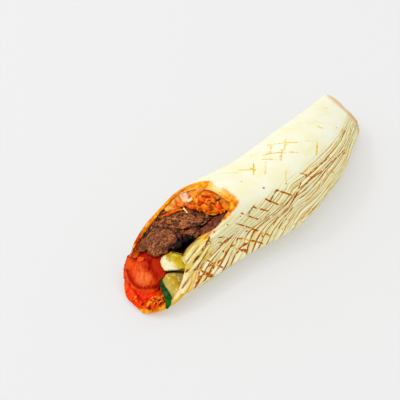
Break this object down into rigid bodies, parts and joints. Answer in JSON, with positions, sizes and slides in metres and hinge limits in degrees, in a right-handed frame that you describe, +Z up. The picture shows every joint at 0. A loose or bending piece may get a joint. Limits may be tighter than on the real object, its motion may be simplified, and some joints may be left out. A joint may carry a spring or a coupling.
{
  "type": "doner kebab wrap",
  "caption": "Doner kebab wrap cut on a slant: grilled flatbread rolled round sliced meat, tomato, cucumber and grated carrot, folded shut at the far end.",
  "frame": {"origin": "middle of the footprint's box, on the table that the wrap rests on", "axes": "+X along the roll from the tip of the slanting cut to the folded end, +Y to its left, +Z up"},
  "size_m": [0.203, 0.0624, 0.042],
  "materials": {
    "bread": "soft matt flatbread with toasted grill lines",
    "meat": "moist roast meat",
    "tomato": "wet and glossy",
    "cucumber": "wet and smooth",
    "carrot": "moist grated carrot"
  },
  "bodies": {
    "root": {"flatbread": "bread", "tomato_slice_lower": "tomato", "tomato_wedge": "tomato", "carrot_heap_lower": "carrot", "cucumber_slice_lower": "cucumber", "cucumber_slice_upper": "cucumber", "meat_slice_left": "meat", "meat_slice_front": "meat", "meat_slice_back": "meat", "meat_slice_middle": "meat", "meat_slice_right": "meat", "tomato_piece_upper": "tomato", "tomato_cube_upper": "tomato", "salad_heap_upper": "carrot"}
  },
  "joints": []
}
